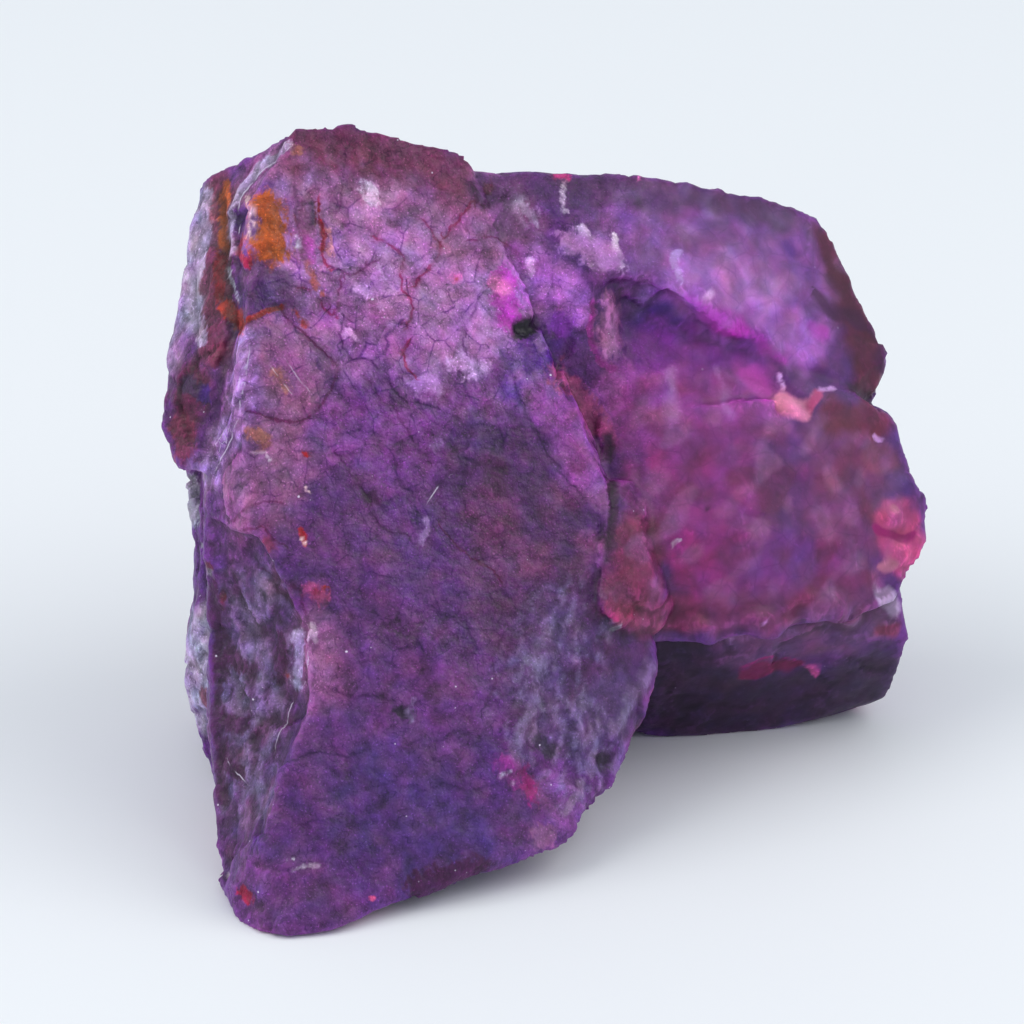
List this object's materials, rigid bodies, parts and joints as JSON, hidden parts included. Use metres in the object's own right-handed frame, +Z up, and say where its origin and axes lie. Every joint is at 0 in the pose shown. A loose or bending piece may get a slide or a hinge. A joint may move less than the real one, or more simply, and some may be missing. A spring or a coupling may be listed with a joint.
{
  "type": "raw crystal",
  "caption": "Raw rough tanzanite crystal: a cloudy violet-to-magenta stone with a leaning cracked front face, resting on natural flat feet.",
  "frame": {"origin": "middle of the stone's bounding box, at the level that it rests on", "axes": "+Z up; +X to the right along the stone's longest side, seen from the broad leaning face; the broad face looks towards -Y"},
  "size_m": [0.0438, 0.0374, 0.0381],
  "materials": {
    "crystal": "satin"
  },
  "bodies": {
    "root": {"crystal": "crystal"}
  },
  "joints": []
}
